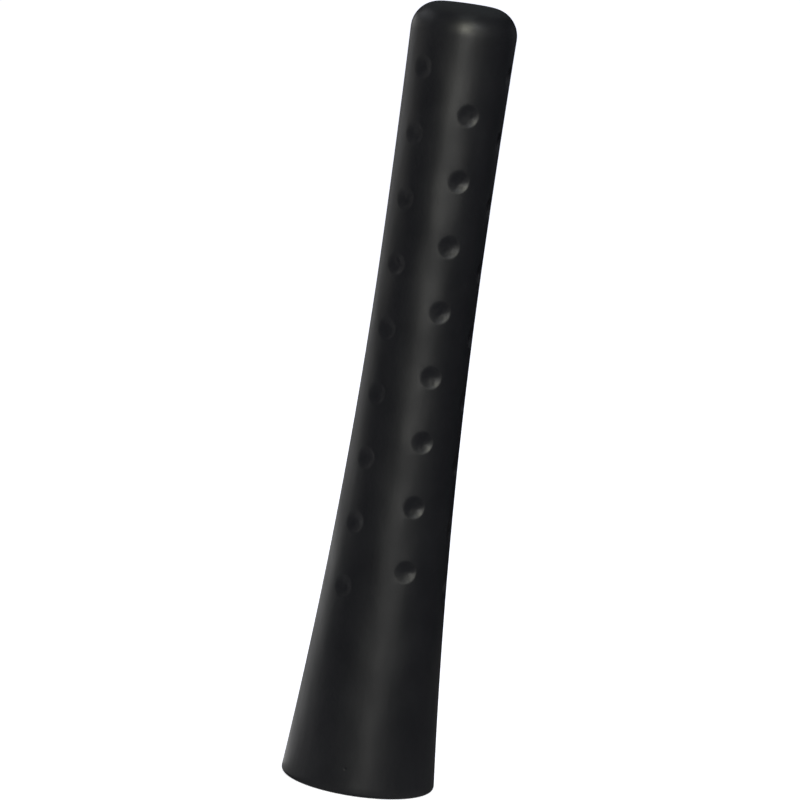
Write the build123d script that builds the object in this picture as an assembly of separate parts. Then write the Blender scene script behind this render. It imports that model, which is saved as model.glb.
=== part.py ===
from build123d import *
import math
import os

# Short car mast aerial: a flared, dimpled rubber jacket moulded round a coil, its core and a ferrule.
# Sizes are in millimetres and degrees. The origin is the centre of the base, and +Z runs up the mast.

# Outside of the jacket
mast_length = 100.0
base_diameter = 19.8  # across the base before its edge is broken
base_edge_chamfer = 0.4
waist_drop = 30.0  # from the top down to the narrowest place
waist_diameter = 12.9
top_diameter = 13.5  # across the top before its edge is rounded
top_edge_radius = 3.5

# Dimples, in columns that start low and high by turns
dimple_diameter = 2.9
dimple_depth = 0.3
dimple_pitch = 8.25
dimple_columns = 6
low_column_drop = 13.3  # from the top down to the first dimple of a low column
high_column_drop = 8.1
first_column_angle = -72.0  # a low column, measured round +Z from +X
plain_foot_height = 24.0  # no dimple is centred below this

# Ferrule, turned from hexagon bar, with a tapped socket below and a plain one above
thread_diameter = 5.0
thread_pitch = 0.8
thread_depth = 10.0
mouth_chamfer = 0.5
drill_point_angle = 118.0
socket_end_wall = 1.5
face_recess = 0.5  # from the base up to the ferrule's face
boss_diameter = 9.0
boss_height = 2.0
hexagon_across_flats = 10.0
collar_height = 4.5
groove_diameter = 8.0
groove_height = 1.5
neck_height = 5.0
neck_wall = 0.8
core_socket_depth = 4.5

# Core and coil
core_diameter = 4.0
core_cover = 12.0  # rubber above the core's end
core_seat_depth = 2.0  # length of the core's end that the rubber grips
wire_diameter = 0.4
coil_end_margin = 2.0  # bare length left beyond each end of the coil

# Fits
bond_gap = 0.03  # rubber to the pieces that it is moulded round
spigot_gap = 0.03  # core to its socket in the ferrule
winding_gap = 0.03  # coil to what it is wound on

# Heights and radii that follow from the sizes above
tap_hole_radius = (thread_diameter - thread_pitch) / 2
drill_point_height = tap_hole_radius / math.tan(math.radians(drill_point_angle / 2))
boss_top = face_recess + boss_height
collar_top = boss_top + collar_height
groove_top = collar_top + groove_height
thread_end = face_recess + thread_depth
hexagon_top = thread_end + drill_point_height + socket_end_wall
neck_top = hexagon_top + neck_height
core_radius = core_diameter / 2
core_top = mast_length - core_cover
core_seat_bottom = core_top - core_seat_depth
core_socket_radius = core_radius - neck_wall
coil_inner_radius = core_radius + winding_gap
coil_outer_radius = coil_inner_radius + wire_diameter
coil_bottom = hexagon_top + coil_end_margin
coil_top = core_seat_bottom - coil_end_margin

# The wall stands upright at the waist, and spreads from it with the square of the distance up or down.
waist_height = mast_length - waist_drop
base_spread = (base_diameter - waist_diameter) / 2
top_spread = (top_diameter - waist_diameter) / 2
shoulder_height = mast_length - top_edge_radius


def wall_radius(height):
    """The jacket's radius at a height, before the top and base edges are broken."""
    if height < waist_height:
        return waist_diameter / 2 + base_spread * (1 - height / waist_height) ** 2
    return waist_diameter / 2 + top_spread * ((height - waist_height) / waist_drop) ** 2


def wall_point(height):
    """The point of the wall at a height, in the XZ plane."""
    return (wall_radius(height), 0, height)


def post(radius, bottom, top):
    """A round solid on the axis between two heights."""
    return Pos(0, 0, bottom) * Cylinder(radius, top - bottom, align=(Align.CENTER, Align.CENTER, Align.MIN))


def hexagon_post(across_flats, bottom, top):
    """A six-sided solid on the axis between two heights."""
    outline = RegularPolygon(across_flats / 2, 6, major_radius=False)
    return extrude(Pos(0, 0, bottom) * outline, top - bottom)


def jacket_blank():
    """The jacket's outside as one turned solid: a single smooth wall under a rounded top edge."""
    wall_heights = (base_edge_chamfer, waist_height / 2, waist_height, shoulder_height)
    wall = Spline(*[wall_point(height) for height in wall_heights])
    lid_edge = (wall_radius(shoulder_height) - top_edge_radius, 0, mast_length)
    shoulder = TangentArc(wall @ 1, lid_edge, tangent=wall % 1)
    rest = Polyline(
        lid_edge,
        (0, 0, mast_length),
        (0, 0, 0),
        (base_diameter / 2 - base_edge_chamfer, 0, 0),
        wall @ 0,
    )
    return revolve(make_face([wall, shoulder, rest]), Axis.Z)


def dimple_balls():
    """The balls that press the dimples: each stands out from the wall at its dimple's place."""
    half_width = dimple_diameter / 2
    ball_radius = (half_width**2 + dimple_depth**2) / (2 * dimple_depth)
    balls = []
    for column in range(dimple_columns):
        angle = first_column_angle + column * 360 / dimple_columns
        height = mast_length - (high_column_drop if column % 2 else low_column_drop)
        while height > plain_foot_height:
            reach = wall_radius(height) + ball_radius - dimple_depth
            balls.append(Rot(0, 0, angle) * Pos(reach, 0, height) * Sphere(ball_radius))
            height -= dimple_pitch
    return balls


def ferrule_envelope(gap):
    """The ferrule's outside up to the top of its hexagon, larger by a gap and open at the base."""
    boss = post(boss_diameter / 2 + gap, 0, boss_top)
    collar = hexagon_post(hexagon_across_flats + 2 * gap, boss_top - gap, collar_top + gap)
    groove = post(groove_diameter / 2 + gap, collar_top, groove_top)
    upper_collar = hexagon_post(hexagon_across_flats + 2 * gap, groove_top - gap, hexagon_top + gap)
    return boss + collar + groove + upper_collar


def mast_jacket():
    """The rubber jacket, with the room for the ferrule, the coil and the core's end."""
    coil_room = post(coil_outer_radius + bond_gap, hexagon_top, core_seat_bottom)
    core_seat = post(core_radius + bond_gap, core_seat_bottom, core_top + bond_gap)
    return jacket_blank() - dimple_balls() - (ferrule_envelope(bond_gap) + coil_room + core_seat)


def screw_ferrule():
    """The metal ferrule that the aerial screws on by, keyed in the rubber by its hexagon and groove."""
    outside = ferrule_envelope(0) - post(boss_diameter, 0, face_recess)
    outside += post(core_radius, hexagon_top, neck_top)
    tap_hole = post(tap_hole_radius, face_recess, thread_end)
    drill_point = Pos(0, 0, thread_end) * Cone(
        tap_hole_radius, 0, drill_point_height, align=(Align.CENTER, Align.CENTER, Align.MIN)
    )
    mouth = Pos(0, 0, face_recess) * Cone(
        tap_hole_radius + mouth_chamfer,
        tap_hole_radius,
        mouth_chamfer,
        align=(Align.CENTER, Align.CENTER, Align.MIN),
    )
    core_socket = post(core_socket_radius, neck_top - core_socket_depth, neck_top)
    return outside - (tap_hole + drill_point + mouth + core_socket)


def winding_core():
    """The glass-fibre rod that carries the coil. Its spigot stands in the ferrule's upper socket."""
    rod = post(core_radius, neck_top, core_top)
    return rod + post(core_socket_radius - spigot_gap, neck_top - core_socket_depth + spigot_gap, neck_top)


def antenna_coil():
    """The copper wire, close wound from the ferrule's neck up the core, its turns as one sleeve."""
    return post(coil_outer_radius, coil_bottom, coil_top) - post(coil_inner_radius, coil_bottom, coil_top)


os.makedirs("parts", exist_ok=True)
for make_piece in (mast_jacket, screw_ferrule, winding_core, antenna_coil):
    export_step(make_piece(), f"parts/{make_piece.__name__}.step")
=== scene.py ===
"""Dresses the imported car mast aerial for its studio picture.

The CAD frame gives the places and sizes. This script turns the rubber jacket with its dimples, taps the
brass ferrule, winds the coil, finishes the core, and sets up the studio and the camera. Lengths are in metres.
"""

import logging
import math
from abc import ABC, abstractmethod
from dataclasses import dataclass, field
from enum import Enum
from typing import ClassVar

import bpy
import numpy as np
from mathutils import Matrix, Vector


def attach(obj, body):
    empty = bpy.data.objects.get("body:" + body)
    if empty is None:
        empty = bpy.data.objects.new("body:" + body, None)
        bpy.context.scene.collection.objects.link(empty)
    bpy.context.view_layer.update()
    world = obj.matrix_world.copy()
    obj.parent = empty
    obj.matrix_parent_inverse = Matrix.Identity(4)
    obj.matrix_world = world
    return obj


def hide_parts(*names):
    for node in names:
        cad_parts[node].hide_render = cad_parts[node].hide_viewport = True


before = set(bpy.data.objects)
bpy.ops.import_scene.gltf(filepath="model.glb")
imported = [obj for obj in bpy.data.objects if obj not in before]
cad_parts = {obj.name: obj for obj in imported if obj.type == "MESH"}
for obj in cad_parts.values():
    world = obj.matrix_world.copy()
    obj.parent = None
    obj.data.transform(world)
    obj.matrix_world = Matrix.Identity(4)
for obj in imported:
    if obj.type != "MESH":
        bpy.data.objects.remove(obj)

log = logging.getLogger("mast_aerial")

Colour = tuple[float, float, float, float]
Triple = tuple[float, float, float]
Outline = list[tuple[float, float]]
Socket = bpy.types.NodeSocket


class Slot(Enum):
    """The record's material slots of the pieces that are modelled here."""

    JACKET = "jacket_rubber"
    FERRULE = "ferrule_brass"
    COIL = "coil_copper"


class Node(Enum):
    """The CAD nodes of the aerial."""

    JACKET = "mast_jacket"
    FERRULE = "screw_ferrule"
    CORE = "winding_core"
    COIL = "antenna_coil"


class NodeBench:
    """Adds and joins the nodes of one shader tree.

    Nearly all the values of Blender's noise lie between noise_low and noise_high.
    """

    noise_low: ClassVar[float] = 0.3
    noise_middle: ClassVar[float] = 0.5
    noise_high: ClassVar[float] = 0.7

    def __init__(self, tree: bpy.types.NodeTree) -> None:
        """Starts from an empty tree.

        Args:
            tree: The node tree of a material or a world.
        """
        self.tree = tree
        tree.nodes.clear()

    def add(self, kind: str, inputs: dict | None = None, **settings) -> bpy.types.Node:
        """Adds one node.

        Args:
            kind: The node's Blender type.
            inputs: Numbers, colours or sockets, by the name or number of the input that they go to.
            settings: The node's own settings.

        Returns:
            The new node.
        """
        node = self.tree.nodes.new(kind)
        for name, value in settings.items():
            setattr(node, name, value)
        for name, value in (inputs or {}).items():
            if isinstance(value, Socket):
                self.tree.links.new(value, node.inputs[name])
            else:
                node.inputs[name].default_value = value
        return node

    def place(self, scale: Triple = (1.0, 1.0, 1.0), rise: float = 0.0) -> Socket:
        """Gives Object coordinates, stretched along the axes.

        Args:
            scale: How many times each coordinate counts.
            rise: What is added to the stretched height.

        Returns:
            The socket with the coordinates.
        """
        coordinates = self.add("ShaderNodeTexCoord").outputs["Object"]
        inputs = {"Vector": coordinates, "Location": (0.0, 0.0, rise), "Scale": scale}
        return self.add("ShaderNodeMapping", inputs).outputs["Vector"]

    def noise(self, place: Socket, size: float, detail: float = 2.0) -> Socket:
        """Gives cloudy noise.

        Args:
            place: The coordinates.
            size: The width of one cloud, in metres.
            detail: How many finer layers the noise has.

        Returns:
            The socket with values about one half.
        """
        inputs = {"Vector": place, "Scale": 1.0 / size, "Detail": detail}
        return self.add("ShaderNodeTexNoise", inputs).outputs["Fac"]

    def spread(self, value: Socket, low: float, high: float) -> Socket:
        """Stretches noise over a range.

        Args:
            value: Noise with values about one half.
            low: What the noise's low values become.
            high: What the noise's high values become.

        Returns:
            The socket with the stretched values.
        """
        usual = {"From Min": self.noise_low, "From Max": self.noise_high}
        inputs = {"Value": value, **usual, "To Min": low, "To Max": high}
        return self.add("ShaderNodeMapRange", inputs).outputs["Result"]

    def ease(self, value: Socket, start: float, end: float, full: float = 1.0) -> Socket:
        """Rises smoothly from nought between two values.

        Args:
            value: What drives the rise.
            start: The value where the rise starts.
            end: The value where the rise ends.
            full: The height of the whole rise.

        Returns:
            The socket with the height.
        """
        inputs = {"Value": value, "From Min": start, "From Max": end, "To Max": full}
        return self.add("ShaderNodeMapRange", inputs, interpolation_type="SMOOTHSTEP").outputs["Result"]

    def maths(self, operation: str, *values: float | Socket) -> Socket:
        """Works out one sum.

        Args:
            operation: The kind of sum, by Blender's name for it.
            values: The numbers and sockets that go into it, in order.

        Returns:
            The socket with the result.
        """
        return self.add("ShaderNodeMath", dict(enumerate(values)), operation=operation).outputs[0]

    def shades(self, value: Socket, low: Colour, high: Colour) -> Socket:
        """Turns noise into a colour between two shades.

        Args:
            value: Noise with values about one half.
            low: The shade of the noise's low values.
            high: The shade of the noise's high values.

        Returns:
            The socket with the colour.
        """
        ramp = self.add("ShaderNodeValToRGB", {"Fac": value})
        stops = ((self.noise_low, low), (self.noise_high, high))
        for stop, (position, colour) in zip(ramp.color_ramp.elements, stops):
            stop.position = position
            stop.color = colour
        return ramp.outputs["Color"]

    def relief(self, height: Socket, depth: float, under: Socket | None = None) -> Socket:
        """Raises a bump from a height.

        Args:
            height: Values from nought to one.
            depth: The full height of the bump, in metres.
            under: The relief that this one lies on.

        Returns:
            The socket with the new normal.
        """
        inputs = {"Height": height, "Distance": depth, "Strength": 1.0}
        if under is not None:
            inputs["Normal"] = under
        return self.add("ShaderNodeBump", inputs).outputs["Normal"]

    def surface(self, inputs: dict) -> None:
        """Ends a material in a Principled shader.

        Args:
            inputs: Values and sockets for the shader's own inputs.
        """
        shader = self.add("ShaderNodeBsdfPrincipled", inputs)
        self.add("ShaderNodeOutputMaterial", {"Surface": shader.outputs["BSDF"]})


def new_material(name: str) -> tuple[bpy.types.Material, NodeBench]:
    """Makes an empty node material.

    Args:
        name: The material's name.

    Returns:
        The material and the bench for its nodes.
    """
    material = bpy.data.materials.new(name)
    material.use_nodes = True
    return material, NodeBench(material.node_tree)


class Finish(ABC):
    """The look of one material, made with procedural nodes."""

    name: str

    @abstractmethod
    def lay(self, bench: NodeBench) -> None:
        """Lays the nodes of the finish.

        Args:
            bench: The bench of the material's nodes.
        """

    def material(self) -> bpy.types.Material:
        """Makes the finish.

        Returns:
            The material.
        """
        material, bench = new_material(self.name)
        self.lay(bench)
        return material


@dataclass(frozen=True)
class SatinRubber(Finish):
    """Black moulded rubber: satin, with its mould's fine grain, faint waves and ripples, and one small nick.

    The top face is more matte than the wall. The dimples are glossier, with the marks of the mould's pins.
    """

    name: str = "satin_black_rubber"
    deep_black: Colour = (0.0082, 0.0084, 0.0098, 1.0)
    soft_black: Colour = (0.0104, 0.0106, 0.0121, 1.0)
    roughness: tuple[float, float] = (0.38, 0.44)
    cloud_size: float = 0.006
    grain_size: float = 0.00022
    grain_depth: float = 0.000004
    wave_size: float = 0.0065
    wave_depth: float = 0.0005
    wave_stretch: Triple = (1.0, 1.0, 0.5)
    wave_rise: float = 0.3
    ripple_size: float = 0.0016
    ripple_depth: float = 0.00003
    ripple_stretch: Triple = (1.0, 1.0, 0.3)
    nick_place: Triple = (-0.00171, -0.00942, 0.00336)
    nick_radius: float = 0.00030
    nick_depth: float = 0.00003
    matte_heights: tuple[float, float] = (0.0986, 0.0998)
    matte: float = 0.32
    dish_attribute: str = "dish"
    dish_gloss: float = 0.08
    mark_size: float = 0.0012
    mark_depth: float = 0.00011

    def lay(self, bench: NodeBench) -> None:
        """Lays the nodes of the finish.

        Args:
            bench: The bench of the material's nodes.
        """
        place = bench.place()
        clouds = bench.noise(place, self.cloud_size, detail=3.0)
        waves = bench.noise(bench.place(self.wave_stretch, self.wave_rise), self.wave_size, detail=1.0)
        ripples = bench.noise(bench.place(self.ripple_stretch), self.ripple_size, detail=1.0)
        grain = bench.noise(place, self.grain_size)
        dish = bench.add("ShaderNodeAttribute", attribute_name=self.dish_attribute).outputs["Fac"]
        normal = bench.relief(waves, self.wave_depth)
        normal = bench.relief(ripples, self.ripple_depth, normal)
        normal = bench.relief(self.marks(bench, place, dish), self.mark_depth, normal)
        normal = bench.relief(grain, self.grain_depth, normal)
        normal = bench.relief(self.nick(bench, place), self.nick_depth, normal)
        roughness = bench.spread(clouds, *self.roughness)
        roughness = bench.maths("ADD", roughness, self.top(bench, place))
        roughness = bench.maths("MULTIPLY_ADD", dish, -self.dish_gloss, roughness)
        black = bench.shades(clouds, self.deep_black, self.soft_black)
        bench.surface({"Base Color": black, "Roughness": roughness, "Normal": normal})

    def top(self, bench: NodeBench, place: Socket) -> Socket:
        """Gives how much more matte the jacket's top face is than its wall.

        Args:
            bench: The bench of the material's nodes.
            place: The coordinates.

        Returns:
            A socket with the roughness to add.
        """
        height = bench.add("ShaderNodeSeparateXYZ", {"Vector": place}).outputs["Z"]
        return bench.ease(height, *self.matte_heights, self.matte)

    def marks(self, bench: NodeBench, place: Socket, dish: Socket) -> Socket:
        """Gives the uneven marks that the mould's pins leave in the dimples.

        Args:
            bench: The bench of the material's nodes.
            place: The coordinates.
            dish: 1 in the middle of a dimple and 0 outside.

        Returns:
            A socket with heights about nought.
        """
        blots = bench.noise(place, self.mark_size, detail=1.0)
        level = bench.maths("SUBTRACT", blots, bench.noise_middle)
        return bench.maths("MULTIPLY", level, dish)

    def nick(self, bench: NodeBench, place: Socket) -> Socket:
        """Gives the pit of the one small nick low on the jacket.

        Args:
            bench: The bench of the material's nodes.
            place: The coordinates.

        Returns:
            A socket with 0 at the bottom of the nick and 1 outside it.
        """
        gap = bench.add("ShaderNodeVectorMath", {0: place, 1: self.nick_place}, operation="DISTANCE")
        return bench.ease(gap.outputs["Value"], 0.0, self.nick_radius)


@dataclass(frozen=True)
class TurnedBrass(Finish):
    """Machined brass with the rings of its turning tool and a little tarnish.

    texture_ring is the width of one ring of Blender's wave texture at a scale of 1.
    """

    texture_ring: ClassVar[float] = 0.314
    name: str = "turned_brass"
    tarnished: Colour = (0.50, 0.33, 0.13, 1.0)
    bright: Colour = (0.74, 0.53, 0.24, 1.0)
    roughness: tuple[float, float] = (0.22, 0.36)
    ring_width: float = 0.00016
    ring_depth: float = 0.000003
    ring_wobble: float = 0.6
    cloud_size: float = 0.0025

    def lay(self, bench: NodeBench) -> None:
        """Lays the nodes of the finish.

        Args:
            bench: The bench of the material's nodes.
        """
        place = bench.place()
        clouds = bench.noise(place, self.cloud_size, detail=4.0)
        scale = self.texture_ring / self.ring_width
        inputs = {"Vector": place, "Scale": scale, "Distortion": self.ring_wobble}
        rings = bench.add("ShaderNodeTexWave", inputs, wave_type="RINGS", rings_direction="Z")
        bench.surface(
            {
                "Base Color": bench.shades(clouds, self.tarnished, self.bright),
                "Roughness": bench.spread(clouds, *self.roughness),
                "Normal": bench.relief(rings.outputs["Fac"], self.ring_depth),
                "Metallic": 1.0,
            }
        )


@dataclass(frozen=True)
class GlassFibre(Finish):
    """Drawn glass fibre in resin, streaked along the rod."""

    name: str = "drawn_glass_fibre"
    resin: Colour = (0.46, 0.43, 0.33, 1.0)
    fibre: Colour = (0.66, 0.64, 0.56, 1.0)
    roughness: tuple[float, float] = (0.38, 0.55)
    streak_width: float = 0.00025
    streak_depth: float = 0.000012
    streak_stretch: Triple = (1.0, 1.0, 0.02)

    def lay(self, bench: NodeBench) -> None:
        """Lays the nodes of the finish.

        Args:
            bench: The bench of the material's nodes.
        """
        streaks = bench.noise(bench.place(self.streak_stretch), self.streak_width, detail=3.0)
        bench.surface(
            {
                "Base Color": bench.shades(streaks, self.resin, self.fibre),
                "Roughness": bench.spread(streaks, *self.roughness),
                "Normal": bench.relief(streaks, self.streak_depth),
            }
        )


@dataclass(frozen=True)
class EnamelledCopper(Finish):
    """Drawn copper wire under a clear enamel."""

    name: str = "enamelled_copper"
    deep: Colour = (0.48, 0.17, 0.07, 1.0)
    bright: Colour = (0.72, 0.34, 0.18, 1.0)
    roughness: tuple[float, float] = (0.20, 0.34)
    cloud_size: float = 0.0016
    enamel: float = 0.4

    def lay(self, bench: NodeBench) -> None:
        """Lays the nodes of the finish.

        Args:
            bench: The bench of the material's nodes.
        """
        clouds = bench.noise(bench.place(), self.cloud_size, detail=3.0)
        bench.surface(
            {
                "Base Color": bench.shades(clouds, self.deep, self.bright),
                "Roughness": bench.spread(clouds, *self.roughness),
                "Metallic": 1.0,
                "Coat Weight": self.enamel,
            }
        )


class Workbench:
    """Blender's modelling tools, each used on one object at a time."""

    seam_gap: ClassVar[float] = 2e-7

    @staticmethod
    def clear() -> None:
        """Leaves edit mode and deselects everything."""
        if bpy.context.object is not None and bpy.context.object.mode != "OBJECT":
            bpy.ops.object.mode_set(mode="OBJECT")
        bpy.ops.object.select_all(action="DESELECT")

    @staticmethod
    def sheet(name: str, columns: int, rows: int) -> bpy.types.Object:
        """Adds a flat sheet of cells, each one unit wide and tall, with a corner at the origin.

        Args:
            name: The object's name.
            columns: The number of cells along X.
            rows: The number of cells along Y.

        Returns:
            The sheet.
        """
        Workbench.clear()
        bpy.ops.mesh.primitive_grid_add(x_subdivisions=columns, y_subdivisions=rows, size=1.0)
        sheet = bpy.context.object
        sheet.name = name
        bpy.ops.object.mode_set(mode="EDIT")
        bpy.ops.mesh.select_all(action="SELECT")
        bpy.ops.transform.resize(value=(columns, rows, 1.0))
        bpy.ops.transform.translate(value=(columns / 2, rows / 2, 0.0))
        bpy.ops.object.mode_set(mode="OBJECT")
        return sheet

    @staticmethod
    def read(obj: bpy.types.Object) -> np.ndarray:
        """Reads the points of a mesh.

        Args:
            obj: A mesh object.

        Returns:
            The points, one row each.
        """
        points = np.empty(len(obj.data.vertices) * 3)
        obj.data.vertices.foreach_get("co", points)
        return points.reshape(-1, 3)

    @staticmethod
    def roll(obj: bpy.types.Object, angle: np.ndarray, radius: np.ndarray, height: np.ndarray) -> None:
        """Rolls a sheet up round the Z axis, and closes its seam and its poles.

        Args:
            obj: The sheet.
            angle: The angle of each point, in radians.
            radius: The distance of each point from the axis.
            height: The height of each point.
        """
        points = np.stack([radius * np.cos(angle), radius * np.sin(angle), height], axis=1)
        obj.data.vertices.foreach_set("co", points.ravel())
        obj.data.update()
        bpy.ops.object.mode_set(mode="EDIT")
        bpy.ops.mesh.select_all(action="SELECT")
        bpy.ops.mesh.remove_doubles(threshold=Workbench.seam_gap)
        bpy.ops.mesh.normals_make_consistent(inside=False)
        bpy.ops.object.mode_set(mode="OBJECT")

    @staticmethod
    def select_faces(obj: bpy.types.Object, chosen: np.ndarray) -> None:
        """Opens a mesh in edit mode with only the chosen faces selected.

        Args:
            obj: A mesh object.
            chosen: True for each face that is wanted.
        """
        bpy.ops.object.mode_set(mode="EDIT")
        bpy.ops.mesh.select_mode(type="FACE")
        bpy.ops.mesh.select_all(action="DESELECT")
        bpy.ops.object.mode_set(mode="OBJECT")
        obj.data.polygons.foreach_set("select", chosen)
        bpy.ops.object.mode_set(mode="EDIT")

    @staticmethod
    def finish(obj: bpy.types.Object, crease: float) -> None:
        """Shades a mesh smooth, apart from its sharp edges.

        Args:
            obj: A mesh object.
            crease: The angle above which an edge is sharp, in degrees.
        """
        Workbench.clear()
        obj.select_set(True)
        bpy.context.view_layer.objects.active = obj
        bpy.ops.object.shade_smooth_by_angle(angle=math.radians(crease))


class ModelledPiece(ABC):
    """A piece that is modelled anew and stands in for its CAD node."""

    node: ClassVar[Node]
    slot: ClassVar[Slot]
    finish: Finish

    @abstractmethod
    def build(self) -> bpy.types.Object:
        """Models the piece.

        Returns:
            The new piece.
        """

    def dress(self) -> bpy.types.Object:
        """Builds the piece, and gives it its finish and its place.

        Returns:
            The piece.
        """
        obj = self.build()
        obj.data.materials.clear()
        obj.data.materials.append(self.finish.material())
        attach(obj, "root")
        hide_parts(self.node.value)
        return obj


@dataclass(frozen=True)
class Dimple:
    """One dimple of the jacket: its column, its cell rows below the highest dimple, and its height."""

    column: int
    row: int
    height: float


# The dimple of each block of cells, by the block's lower left corner on the flat sheet.
Blocks = dict[tuple[int, int], Dimple]


@dataclass
class MastJacket(ModelledPiece):
    """The moulded rubber jacket: a flared, dimpled wall, a rounded top and a flat base."""

    node: ClassVar[Node] = Node.JACKET
    slot: ClassVar[Slot] = Slot.JACKET

    # The wall, the base and the top.
    length: float = 0.1
    base_radius: float = 0.0099
    base_edge_radius: float = 0.0005
    waist_height: float = 0.07
    waist_radius: float = 0.00645
    top_radius: float = 0.00675
    top_edge_radius: float = 0.0035

    # The dimples. Each dish leans by a seeded draw about the mean lean and bearing.
    dimple_half_width: float = 0.00143
    column_depths: tuple[float, ...] = (0.0003, 0.0003, 0.0003, 0.0003, 0.0003, 0.0002)
    dimple_rim_softness: float = 0.00007
    dimple_lean: float = 0.42
    lean_spread: float = 0.08
    lean_reach: float = 1.2
    dimple_lean_bearing: float = -45.0
    bearing_spread: float = 14.0
    mould_seed: int = 4
    dimple_pitch: float = 0.00825
    high_dimple: float = 0.0919
    low_dimple: float = 0.0867
    lowest_dimple: float = 0.024
    dimple_columns: int = 6
    first_column_angle: float = -72.0

    # The room inside.
    pocket_mouth_radius: float = 0.00453
    pocket_mouth_height: float = 0.0025
    mouth_edge: float = 0.00018
    mouth_edge_middle: float = 0.00005
    pocket_radius: float = 0.00585
    pocket_top: float = 0.01329
    coil_room_radius: float = 0.00246
    coil_room_top: float = 0.086
    core_seat_radius: float = 0.00203
    core_seat_top: float = 0.08803

    # The cells of the flat sheet, and the rings of its dimple blocks as shares of a dimple's half width.
    cells_per_column: int = 16
    cells_per_pitch: int = 24
    low_start_cells: int = 15
    block_columns: int = 8
    block_rows: int = 10
    margin_rows: int = 6
    foot_rows: int = 28
    shoulder_rows: int = 7
    base_edge_steps: int = 8
    top_edge_steps: int = 16
    base_shares: tuple[float, ...] = (0.33, 0.67, 1.0)
    top_shares: tuple[float, ...] = (0.75, 0.5, 0.25, 0.0)
    inset: float = 0.04
    ring_shares: tuple[float, ...] = (1.10, 1.05, 1.01, 0.97, 0.92, 0.86, 0.77, 0.64, 0.48, 0.32, 0.16)

    crease: float = 42.0
    finish: SatinRubber = field(default_factory=SatinRubber)

    def wall_radius(self, height: np.ndarray) -> np.ndarray:
        """Gives the radius of the wall.

        Args:
            height: Heights above the base.

        Returns:
            The radius at each height.
        """
        below = (self.base_radius - self.waist_radius) * (1 - height / self.waist_height) ** 2
        above = (height - self.waist_height) / (self.length - self.waist_height)
        above = (self.top_radius - self.waist_radius) * above**2
        return self.waist_radius + np.where(height < self.waist_height, below, above)

    def wall_stations(self, heights: np.ndarray) -> Outline:
        """Gives the outline of the plain wall.

        Args:
            heights: The heights of the stations.

        Returns:
            Radius and height of each station.
        """
        return [(float(self.wall_radius(height)), float(height)) for height in heights]

    def pocket_stations(self) -> Outline:
        """Gives the outline of the room inside, from the axis down to the base.

        Returns:
            Radius and height of each station.
        """
        return [
            (0.0, self.core_seat_top),
            (self.core_seat_radius, self.core_seat_top),
            (self.core_seat_radius, self.coil_room_top),
            (self.coil_room_radius, self.coil_room_top),
            (self.coil_room_radius, self.pocket_top),
            (self.pocket_radius, self.pocket_top),
            (self.pocket_radius, self.pocket_mouth_height),
            (self.pocket_mouth_radius, self.pocket_mouth_height),
            (self.pocket_mouth_radius, self.mouth_edge),
            (self.pocket_mouth_radius + self.mouth_edge_middle, self.mouth_edge_middle),
            (self.pocket_mouth_radius + self.mouth_edge, 0.0),
        ]

    def foot_stations(self, top: float) -> Outline:
        """Gives the outline of the base and of the plain foot over it.

        Args:
            top: The height where the foot ends.

        Returns:
            Radius and height of each station.
        """
        edge = self.base_edge_radius
        centre = float(self.wall_radius(np.array(edge))) - edge
        inner = self.pocket_mouth_radius + self.mouth_edge
        stations = [(inner + (centre - inner) * share, 0.0) for share in self.base_shares]
        for step in range(1, self.base_edge_steps):
            turn = math.radians(90 * step / self.base_edge_steps)
            stations.append((centre + edge * math.sin(turn), edge - edge * math.cos(turn)))
        return stations + self.wall_stations(np.linspace(edge, top, self.foot_rows + 1)[:-1])

    def top_stations(self, bottom: float) -> Outline:
        """Gives the outline above the dimples, over the rounded edge to the axis.

        Args:
            bottom: The height where the dimpled wall ends.

        Returns:
            Radius and height of each station.
        """
        edge = self.top_edge_radius
        shoulder = self.length - edge
        stations = self.wall_stations(np.linspace(bottom, shoulder, self.shoulder_rows + 1)[1:])
        centre = stations[-1][0] - edge
        for step in range(1, self.top_edge_steps + 1):
            turn = math.radians(90 * step / self.top_edge_steps)
            stations.append((centre + edge * math.cos(turn), shoulder + edge * math.sin(turn)))
        return stations + [(centre * share, self.length) for share in self.top_shares]

    def dimples(self) -> list[Dimple]:
        """Lists the dimples.

        Returns:
            The dimples, column by column, each from the top down.
        """
        found = []
        for column in range(self.dimple_columns):
            low = column % 2 == 0
            height = self.low_dimple if low else self.high_dimple
            row = self.low_start_cells if low else 0
            while height > self.lowest_dimple:
                found.append(Dimple(column, row, height))
                height -= self.dimple_pitch
                row += self.cells_per_pitch
        return found

    def pressed(
        self, across: np.ndarray, up: np.ndarray, depth: float, lean: float, bearing: float
    ) -> np.ndarray:
        """Gives how deep a dimple presses into the wall, with a soft rim.

        Args:
            across: Distances round the wall from the dimple's centre, rightwards.
            up: Distances up the wall from the dimple's centre.
            depth: The dish's depth in the middle.
            lean: How much deeper one side of the dish is than its middle, as a share.
            bearing: The direction of the deeper side, in degrees up from rightwards.

        Returns:
            The depth at each point.
        """
        turn = math.radians(bearing)
        side = (across * math.cos(turn) + up * math.sin(turn)) / self.dimple_half_width
        dish = 1.0 - (across**2 + up**2) / self.dimple_half_width**2
        dish = depth * dish * (1.0 + lean * np.clip(side, -self.lean_reach, self.lean_reach))
        soft = self.dimple_rim_softness
        share = np.clip(0.5 + 0.5 * dish / soft, 0.0, 1.0)
        return np.where(share <= 0.0, 0.0, dish * share + soft * share * (1.0 - share))

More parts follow.
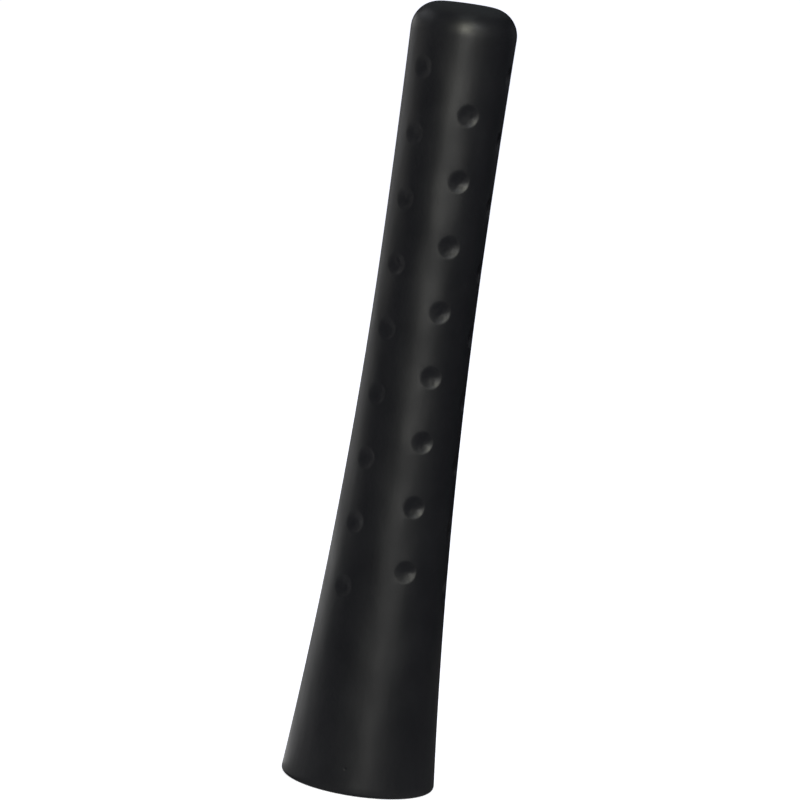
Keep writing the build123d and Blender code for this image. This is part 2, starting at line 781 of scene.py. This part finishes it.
    def build(self) -> bpy.types.Object:
        """Models the jacket from a flat sheet: dimple blocks are cut and inset, then it is rolled up.

        Returns:
            The jacket.
        """
        step = self.dimple_pitch / self.cells_per_pitch
        dimples = self.dimples()
        lowest_row = max(dimple.row for dimple in dimples) + self.margin_rows
        heights = self.high_dimple - step * np.arange(lowest_row, -self.margin_rows - 1, -1)
        below = self.pocket_stations() + self.foot_stations(float(heights[0]))
        above = self.wall_stations(heights) + self.top_stations(float(heights[-1]))
        stations = np.array(below + above)
        columns = self.cells_per_column * self.dimple_columns
        jacket = Workbench.sheet("rubber_jacket", columns, len(stations) - 1)
        bottom = len(below) + lowest_row - self.block_rows // 2
        blocks = {(dimple.column * self.cells_per_column, bottom - dimple.row): dimple for dimple in dimples}
        self.cut_blocks(jacket, blocks)
        self.roll_up(jacket, stations, blocks)
        Workbench.finish(jacket, self.crease)
        return jacket

    def cut_blocks(self, jacket: bpy.types.Object, blocks: Blocks) -> None:
        """Joins the cells round each dimple to one face, and insets it ring by ring to its centre.

        Args:
            jacket: The flat sheet.
            blocks: The dimples' blocks.
        """
        centres = np.empty(len(jacket.data.polygons) * 3)
        jacket.data.polygons.foreach_get("center", centres)
        across, along, _ = centres.reshape(-1, 3).T
        chosen = np.zeros(len(across), dtype=bool)
        for left, bottom in blocks:
            in_columns = (across > left) & (across < left + self.block_columns)
            in_rows = (along > bottom) & (along < bottom + self.block_rows)
            chosen |= in_columns & in_rows
        Workbench.select_faces(jacket, chosen)
        bpy.ops.mesh.dissolve_faces()
        for _ in self.ring_shares:
            bpy.ops.mesh.inset(thickness=self.inset, use_individual=True)
        bpy.ops.mesh.poke()
        bpy.ops.object.mode_set(mode="OBJECT")

    def rings(
        self, across: np.ndarray, along: np.ndarray, left: int, bottom: int
    ) -> tuple[np.ndarray, np.ndarray, np.ndarray, np.ndarray]:
        """Finds the inset rings of one block.

        Args:
            across: How far across the sheet each point lies.
            along: How far up the sheet each point lies.
            left: The block's left line.
            bottom: The block's bottom line.

        Returns:
            Which points lie inside the block and, for these, their ring and the column line and row line of the
            point on the block's edge that they were inset from.
        """
        right, top = left + self.block_columns, bottom + self.block_rows
        depth = np.minimum.reduce([across - left, right - across, along - bottom, top - along])
        inside = depth > self.inset / 2
        across, along = across[inside], along[inside]
        ring = np.minimum(np.rint(depth[inside] / self.inset).astype(int), len(self.ring_shares) + 1)
        near = self.inset * (ring + 0.5)
        edge_x = np.where(across - left < near, left, np.rint(across))
        edge_x = np.where(right - across < near, right, edge_x)
        edge_y = np.where(along - bottom < near, bottom, np.rint(along))
        edge_y = np.where(top - along < near, top, edge_y)
        return inside, ring, edge_x, edge_y.astype(int)

    def roll_up(self, jacket: bpy.types.Object, stations: np.ndarray, blocks: Blocks) -> None:
        """Rolls the sheet up, and presses the dimples.

        Args:
            jacket: The sheet with its blocks.
            stations: Radius and height of each row line.
            blocks: The dimples' blocks.
        """
        across, along, _ = Workbench.read(jacket).T
        cell = 2 * math.pi / (self.cells_per_column * self.dimple_columns)
        start = math.radians(self.first_column_angle) - cell * self.block_columns / 2
        angle = start + np.rint(across) * cell
        radius, height = stations[np.rint(along).astype(int)].T.copy()
        shares = np.array((1.0, *self.ring_shares, 0.0))
        mould = np.random.default_rng(self.mould_seed)
        hollow = np.zeros(len(radius))
        for (left, bottom), dimple in blocks.items():
            lean = self.dimple_lean + float(mould.normal(0.0, self.lean_spread))
            deep_side = self.dimple_lean_bearing + float(mould.normal(0.0, self.bearing_spread))
            inside, ring, edge_x, edge_y = self.rings(across, along, left, bottom)
            middle = math.radians(self.first_column_angle + dimple.column * 360 / self.dimple_columns)
            wall = float(self.wall_radius(np.array(dimple.height)))
            x = (start + edge_x * cell - middle) * wall
            y = stations[edge_y, 1] - dimple.height
            bearing = np.arctan2(y, x)
            out = self.dimple_half_width * shares[ring]
            x, y = out * np.cos(bearing), out * np.sin(bearing)
            height[inside] = dimple.height + y
            angle[inside] = middle + x / wall
            depth = self.column_depths[dimple.column]
            dish = self.pressed(x, y, depth, lean, deep_side)
            radius[inside] = self.wall_radius(height[inside]) - dish
            hollow[inside] = np.clip(dish / depth, 0.0, 1.0)
        mark = jacket.data.attributes.new(self.finish.dish_attribute, "FLOAT", "POINT")
        mark.data.foreach_set("value", hollow)
        Workbench.roll(jacket, angle, radius, height)


@dataclass
class ScrewFerrule(ModelledPiece):
    """The brass ferrule: hexagon bar, turned and grooved, with a tapped socket below.

    The thread's crest flat and flank are shares of half its pitch.
    """

    node: ClassVar[Node] = Node.FERRULE
    slot: ClassVar[Slot] = Slot.FERRULE
    face_height: float = 0.0005
    thread_end: float = 0.0105
    thread_pitch: float = 0.0008
    crest_radius: float = 0.0021
    root_radius: float = 0.0025
    crest_flat: float = 0.125
    flank: float = 0.7
    mouth_radius: float = 0.0026
    drill_point_height: float = 0.001262
    boss_radius: float = 0.0045
    boss_top: float = 0.0025
    half_across_flats: float = 0.005
    collar_top: float = 0.007
    groove_radius: float = 0.004
    groove_top: float = 0.0085
    hexagon_top: float = 0.013262
    neck_radius: float = 0.002
    neck_top: float = 0.018262
    core_socket_radius: float = 0.0012
    core_socket_bottom: float = 0.013762
    edge_break: float = 0.00015
    columns: int = 72
    rows_per_turn: int = 10
    crease: float = 32.0
    finish: TurnedBrass = field(default_factory=TurnedBrass)

    def thread_radius(self, angle: np.ndarray, height: np.ndarray) -> np.ndarray:
        """Gives the radius of the tapped bore.

        Args:
            angle: The angle of each point, in radians.
            height: The height of each point.

        Returns:
            The radius, with the right-hand thread, its run-out and the chamfered mouth.
        """
        phase = (height / self.thread_pitch - angle / (2 * math.pi)) % 1.0
        tooth = np.clip((np.abs(2 * phase - 1) - self.crest_flat) / self.flank, 0.0, 1.0)
        full = np.clip((self.thread_end - self.thread_pitch - height) / self.thread_pitch, 0.0, 1.0)
        bore = self.crest_radius + (self.root_radius - self.crest_radius) * tooth * full
        return np.maximum(bore, self.mouth_radius - (height - self.face_height))

    def hexagon_radius(self, angle: np.ndarray) -> np.ndarray:
        """Gives the hexagon's radius, with its corners at each sixth of a turn from +X.

        Args:
            angle: The angle of each point, in radians.

        Returns:
            The radius at each angle.
        """
        return self.half_across_flats / np.cos(angle % (math.pi / 3) - math.pi / 6)

    def build(self) -> bpy.types.Object:
        """Models the ferrule from a flat sheet, rolled up from the drill point round to the core's socket.

        Returns:
            The ferrule.
        """
        turns = (self.thread_end - self.face_height) / self.thread_pitch
        bore = np.linspace(self.thread_end, self.face_height, round(turns * self.rows_per_turn) + 1)
        edge = self.edge_break
        hexagon = -1.0  # Stands for the hexagon's radius, which changes round the axis.
        outside = [
            (self.boss_radius - edge, self.face_height),
            (self.boss_radius, self.face_height + edge),
            (self.boss_radius, self.boss_top),
            (hexagon, self.boss_top),
            (hexagon, self.collar_top),
            (self.groove_radius, self.collar_top),
            (self.groove_radius, self.groove_top),
            (hexagon, self.groove_top),
            (hexagon, self.hexagon_top),
            (self.neck_radius, self.hexagon_top),
            (self.neck_radius, self.neck_top),
            (self.core_socket_radius, self.neck_top),
            (self.core_socket_radius, self.core_socket_bottom),
            (0.0, self.core_socket_bottom),
        ]
        tip = self.thread_end + self.drill_point_height
        stations = np.array([(0.0, tip), *[(0.0, height) for height in bore], *outside])
        ferrule = Workbench.sheet("tapped_ferrule", self.columns, len(stations) - 1)
        points = Workbench.read(ferrule)
        line = np.rint(points[:, 1]).astype(int)
        angle = np.rint(points[:, 0]) * 2 * math.pi / self.columns
        radius, height = stations[line, 0].copy(), stations[line, 1]
        tapped = (line > 0) & (line <= len(bore))
        radius[tapped] = self.thread_radius(angle[tapped], height[tapped])
        radius = np.where(radius == hexagon, self.hexagon_radius(angle), radius)
        Workbench.roll(ferrule, angle, radius, height)
        Workbench.finish(ferrule, self.crease)
        return ferrule


@dataclass
class AntennaCoil(ModelledPiece):
    """The copper wire, close wound round the ferrule's neck and the core."""

    node: ClassVar[Node] = Node.COIL
    slot: ClassVar[Slot] = Slot.COIL
    bottom: float = 0.015262
    top: float = 0.084
    wire_radius: float = 0.000195
    winding_radius: float = 0.00223
    turn_pitch: float = 0.00041
    steps_per_turn: int = 24
    wire_sides: int = 6
    crease: float = 70.0
    finish: EnamelledCopper = field(default_factory=EnamelledCopper)

    def build(self) -> bpy.types.Object:
        """Winds a ring of the wire's section up the core, and closes its ends.

        Returns:
            The coil.
        """
        Workbench.clear()
        bpy.ops.mesh.primitive_circle_add(
            vertices=self.wire_sides,
            radius=self.wire_radius,
            location=(self.winding_radius, 0.0, self.bottom + self.wire_radius),
            rotation=(math.pi / 2, 0.0, 0.0),
        )
        coil = bpy.context.object
        coil.name = "wound_coil"
        bpy.ops.object.transform_apply(location=True, rotation=True, scale=True)
        winding = coil.modifiers.new("winding", "SCREW")
        winding.axis = "Z"
        winding.angle = 2 * math.pi
        winding.screw_offset = self.turn_pitch
        winding.iterations = int((self.top - self.bottom - 2 * self.wire_radius) / self.turn_pitch)
        winding.steps = self.steps_per_turn
        winding.render_steps = self.steps_per_turn
        winding.use_merge_vertices = False
        bpy.ops.object.modifier_apply(modifier="winding")
        bpy.ops.object.mode_set(mode="EDIT")
        bpy.ops.mesh.select_mode(type="EDGE")
        bpy.ops.mesh.select_all(action="DESELECT")
        bpy.ops.mesh.select_non_manifold()
        bpy.ops.mesh.edge_face_add()
        bpy.ops.mesh.select_all(action="SELECT")
        bpy.ops.mesh.normals_make_consistent(inside=False)
        bpy.ops.object.mode_set(mode="OBJECT")
        Workbench.finish(coil, self.crease)
        return coil


@dataclass
class WindingCore:
    """The glass-fibre rod, whose CAD solid already has its shape."""

    finish: GlassFibre = field(default_factory=GlassFibre)

    def dress(self) -> bpy.types.Object:
        """Gives the CAD rod its finish.

        Returns:
            The rod.
        """
        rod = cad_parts[Node.CORE.value]
        material = self.finish.material()
        for place in rod.material_slots:
            place.material = material
        return rod


@dataclass
class SoftBox:
    """One soft lamp on an arm. Bearings run round the aerial from the camera's side, rightwards."""

    name: str
    bearing: float
    elevation: float
    distance: float
    width: float
    height: float
    power: float
    colour: Triple = (1.0, 1.0, 1.0)
    aim_height: float = 0.05

    def place(self) -> Vector:
        """Gives the lamp's place.

        Returns:
            The point where the lamp hangs.
        """
        bearing, elevation = math.radians(self.bearing), math.radians(self.elevation)
        reach = self.distance * math.cos(elevation)
        rise = self.aim_height + self.distance * math.sin(elevation)
        return Vector((reach * math.sin(bearing), -reach * math.cos(bearing), rise))

    def aim(self) -> Vector:
        """Gives what the lamp is turned to.

        Returns:
            The point on the aerial's axis.
        """
        return Vector((0.0, 0.0, self.aim_height))

    def hang(self) -> bpy.types.Object:
        """Hangs the lamp.

        Returns:
            The lamp.
        """
        Workbench.clear()
        bpy.ops.object.light_add(type="AREA", location=self.place())
        lamp = bpy.context.object
        lamp.name = self.name
        lamp.data.shape = "RECTANGLE"
        lamp.data.size = self.width
        lamp.data.size_y = self.height
        lamp.data.energy = self.power
        lamp.data.color = self.colour
        lamp.visible_camera = False
        lamp.rotation_euler = (self.aim() - self.place()).to_track_quat("-Z", "Y").to_euler()
        return lamp


@dataclass
class BounceBoard(SoftBox):
    """A glowing board that lies on the floor and faces up, whatever its elevation."""

    lift: float = 0.00015
    inward: float = 0.001

    def place(self) -> Vector:
        """Gives the board's place.

        Returns:
            The middle of the board, just over the floor.
        """
        bearing = math.radians(self.bearing)
        return Vector((self.distance * math.sin(bearing), -self.distance * math.cos(bearing), self.lift))

    def aim(self) -> Vector:
        """Gives what the board faces, so that its width lies across its bearing.

        Returns:
            The point over the board, a trace nearer to the axis.
        """
        return self.place() + Vector((0.0, 0.0, 1.0)) - self.inward * self.place()


@dataclass
class BlackTent:
    """A black tent that only reflections see, so that the satin rubber shows the lamps and nothing else."""

    radius: float = 2.5
    ground: float = 0.0001
    cloth: Colour = (0.004, 0.004, 0.004, 1.0)
    roughness: float = 0.9
    gloss: float = 0.1
    segments: int = 48
    rings: int = 24

    def pitch(self) -> bpy.types.Object:
        """Pitches the tent over the aerial and its lamps.

        Returns:
            The tent.
        """
        Workbench.clear()
        bpy.ops.mesh.primitive_uv_sphere_add(
            segments=self.segments, ring_count=self.rings, radius=self.radius
        )
        tent = bpy.context.object
        tent.name = "black_tent"
        bpy.ops.object.mode_set(mode="EDIT")
        bpy.ops.mesh.select_all(action="SELECT")
        bpy.ops.mesh.bisect(
            plane_co=(0.0, 0.0, self.ground), plane_no=(0.0, 0.0, 1.0), clear_inner=True, use_fill=True
        )
        bpy.ops.object.mode_set(mode="OBJECT")
        material, bench = new_material("black_cloth")
        bench.surface(
            {"Base Color": self.cloth, "Roughness": self.roughness, "Specular IOR Level": self.gloss}
        )
        tent.data.materials.append(material)
        tent.visible_camera = False
        tent.visible_diffuse = False
        tent.visible_shadow = False
        tent.visible_transmission = False
        return tent


@dataclass
class Studio:
    """A white floor, a white surround, soft lamps and the tent."""

    floor_size: float = 12.0
    floor_height: float = -0.00002
    floor_white: Colour = (0.80, 0.80, 0.80, 1.0)
    floor_glow: float = 0.75
    surround_light: float = 0.370
    surround_tint: Colour = (0.88, 0.93, 1.26, 1.0)
    surround_white: Colour = (1.0, 1.0, 1.0, 1.0)
    lamps: tuple[SoftBox, ...] = (
        SoftBox("front_low_box", 11.0, 8.0, 0.42, 0.20, 0.12, 0.240, (1.01, 1.00, 0.98)),
        SoftBox("front_box", 4.0, 24.0, 0.42, 0.10, 0.10, 0.350, (1.03, 1.03, 0.87)),
        SoftBox("right_strip", 36.0, 16.0, 0.42, 0.12, 0.24, 0.042, (1.05, 1.04, 0.91)),
        SoftBox("left_strip", -14.0, 16.0, 0.42, 0.12, 0.24, 0.034, (1.02, 1.02, 0.96)),
        SoftBox("high_box", 0.0, 34.0, 0.42, 0.08, 0.08, 0.206, (1.03, 1.03, 0.86)),
        SoftBox("high_strip", 8.0, 44.0, 0.42, 0.16, 0.08, 0.178, (1.02, 1.03, 0.87)),
        SoftBox("high_right_box", 30.0, 40.0, 0.42, 0.12, 0.12, 0.108, (0.95, 0.98, 1.07)),
        SoftBox("top_box", 0.0, 76.0, 0.50, 0.20, 0.20, 0.076, (0.92, 1.02, 1.06)),
        SoftBox("left_box", -107.0, 10.0, 0.50, 0.17, 0.16, 0.048, (1.05, 1.00, 0.95)),
        SoftBox("left_high_box", -118.0, 34.0, 0.50, 0.30, 0.16, 0.130, (0.97, 0.99, 1.04)),
        SoftBox("left_window", -138.0, 8.0, 0.50, 0.30, 0.13, 0.130),
        SoftBox("back_left_box", -160.0, 34.0, 0.50, 0.20, 0.16, 0.020),
        SoftBox("back_right_box", 142.0, 10.0, 0.50, 0.20, 0.20, 0.014, (0.95, 0.98, 1.07)),
        SoftBox("back_top_box", 172.0, 50.0, 0.50, 0.24, 0.20, 0.075, (0.80, 1.03, 1.17)),
        BounceBoard("far_board", -138.0, 0.0, 0.43, 0.32, 0.34, 0.320),
        BounceBoard("side_board", -108.0, 0.0, 0.36, 0.20, 0.20, 0.057, (1.04, 1.02, 0.94)),
        BounceBoard("middle_board", -138.0, 0.0, 0.16, 0.14, 0.12, 0.050),
        BounceBoard("near_board", -112.0, 0.0, 0.14, 0.10, 0.14, 0.0134),
        BounceBoard("foot_board", -112.0, 0.0, 0.0375, 0.05, 0.055, 0.0029),
        BounceBoard("back_foot_board", -146.0, 0.0, 0.0440, 0.06, 0.068, 0.0066),
        BounceBoard("front_foot_board", -35.0, 0.0, 0.0320, 0.06, 0.044, 0.0006),
        BounceBoard("right_board", 132.0, 0.0, 0.070, 0.12, 0.12, 0.0036),
    )
    tent: BlackTent = field(default_factory=BlackTent)

    def seen_directly(self, bench: NodeBench) -> Socket:
        """Tells the rays of the camera, of reflections and of clear pieces from the rays that light things.

        Args:
            bench: The node tree's bench.

        Returns:
            A socket with 1 for those rays and 0 for the rest.
        """
        path = bench.add("ShaderNodeLightPath").outputs
        seen = path["Is Camera Ray"]
        for ray in ("Is Glossy Ray", "Is Transmission Ray"):
            seen = bench.maths("MAXIMUM", seen, path[ray])
        return seen

    def lay_floor(self) -> bpy.types.Object:
        """Lays the floor: white paper that keeps the aerial's shadow.

        Returns:
            The floor.
        """
        Workbench.clear()
        bpy.ops.mesh.primitive_plane_add(size=self.floor_size, location=(0.0, 0.0, self.floor_height))
        floor = bpy.context.object
        floor.name = "studio_floor"
        material, bench = new_material("white_paper")
        paper = bench.add("ShaderNodeBsdfDiffuse", {"Color": self.floor_white})
        strength = bench.maths("MULTIPLY", self.seen_directly(bench), self.floor_glow)
        glow = bench.add("ShaderNodeEmission", {"Strength": strength})
        both = bench.add("ShaderNodeAddShader", {0: paper.outputs["BSDF"], 1: glow.outputs["Emission"]})
        bench.add("ShaderNodeOutputMaterial", {"Surface": both.outputs["Shader"]})
        floor.data.materials.append(material)
        return floor

    def surround(self) -> None:
        """Surrounds the scene with an even light that looks white."""
        world = bpy.data.worlds.new("white_surround")
        world.use_nodes = True
        bpy.context.scene.world = world
        bench = NodeBench(world.node_tree)
        inputs = {0: self.seen_directly(bench)}
        lights = ((self.surround_tint, self.surround_light), (self.surround_white, 1.0))
        for socket, (colour, strength) in enumerate(lights, start=1):
            light = bench.add("ShaderNodeBackground", {"Color": colour, "Strength": strength})
            inputs[socket] = light.outputs["Background"]
        both = bench.add("ShaderNodeMixShader", inputs)
        bench.add("ShaderNodeOutputWorld", {"Surface": both.outputs["Shader"]})

    def set_up(self) -> None:
        """Sets up the whole studio."""
        bpy.context.scene.view_settings.view_transform = "Standard"
        self.lay_floor()
        self.surround()
        for lamp in self.lamps:
            lamp.hang()
        self.tent.pitch()


@dataclass
class Viewpoint:
    """The camera at the photograph's angle, rolled so that the aerial leans to the right."""

    place: Triple = (0.0, -0.520, 0.1291)
    down_angle: float = 8.71
    left_angle: float = 0.157
    roll_angle: float = 8.1
    lens: float = 187.2
    sensor_width: float = 36.0
    clip: tuple[float, float] = (0.01, 50.0)

    def set_up(self) -> bpy.types.Object:
        """Places the scene's camera.

        Returns:
            The camera.
        """
        Workbench.clear()
        bpy.ops.object.camera_add()
        camera = bpy.context.object
        camera.name = "photo_camera"
        camera.data.sensor_width = self.sensor_width
        camera.data.lens = self.lens
        camera.data.clip_start, camera.data.clip_end = self.clip
        turn = Matrix.Rotation(math.radians(self.left_angle), 4, "Z")
        turn = turn @ Matrix.Rotation(math.radians(90 - self.down_angle), 4, "X")
        turn = turn @ Matrix.Rotation(math.radians(self.roll_angle), 4, "Z")
        camera.matrix_world = Matrix.Translation(self.place) @ turn
        bpy.context.scene.camera = camera
        return camera


def main() -> None:
    """Builds the aerial's pieces in order, then the studio and the camera."""
    logging.basicConfig(level=logging.INFO, format="%(message)s")
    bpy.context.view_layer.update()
    for piece in (MastJacket(), ScrewFerrule(), AntennaCoil(), WindingCore()):
        made = piece.dress()
        log.info("%s: %d faces", made.name, len(made.data.polygons))
    Studio().set_up()
    Viewpoint().set_up()


if __name__ == "__main__":
    main()
